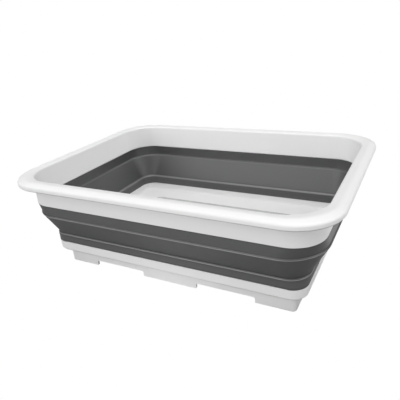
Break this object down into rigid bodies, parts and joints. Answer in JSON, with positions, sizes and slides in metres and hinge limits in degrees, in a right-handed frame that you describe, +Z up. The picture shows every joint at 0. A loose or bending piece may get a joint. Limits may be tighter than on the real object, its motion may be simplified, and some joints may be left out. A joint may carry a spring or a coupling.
{
  "type": "collapsible bowl",
  "caption": "Rectangular collapsible wash bowl with a rigid rim, a rigid footed base and a soft folding wall between them.",
  "frame": {"origin": "middle of the footprint, on the surface that the feet stand on", "axes": "+X along the longer side, +Z up out of the open bowl"},
  "size_m": [0.37, 0.2678, 0.1182],
  "materials": {
    "white_plastic": "satin moulded polypropylene",
    "grey_elastomer": "matte thermoplastic rubber"
  },
  "bodies": {
    "base": {"base_tray": "white_plastic", "foot_ring": "white_plastic", "band_lower": "grey_elastomer"},
    "rim": {"rim_frame": "white_plastic", "band_upper": "grey_elastomer", "band_middle": "grey_elastomer"}
  },
  "joints": [
    {"name": "collapse", "type": "slide", "parent": "base", "child": "rim", "axis": [0, 0, -1], "range_m": [0, 0.0604], "deforming": ["band_middle"]}
  ]
}
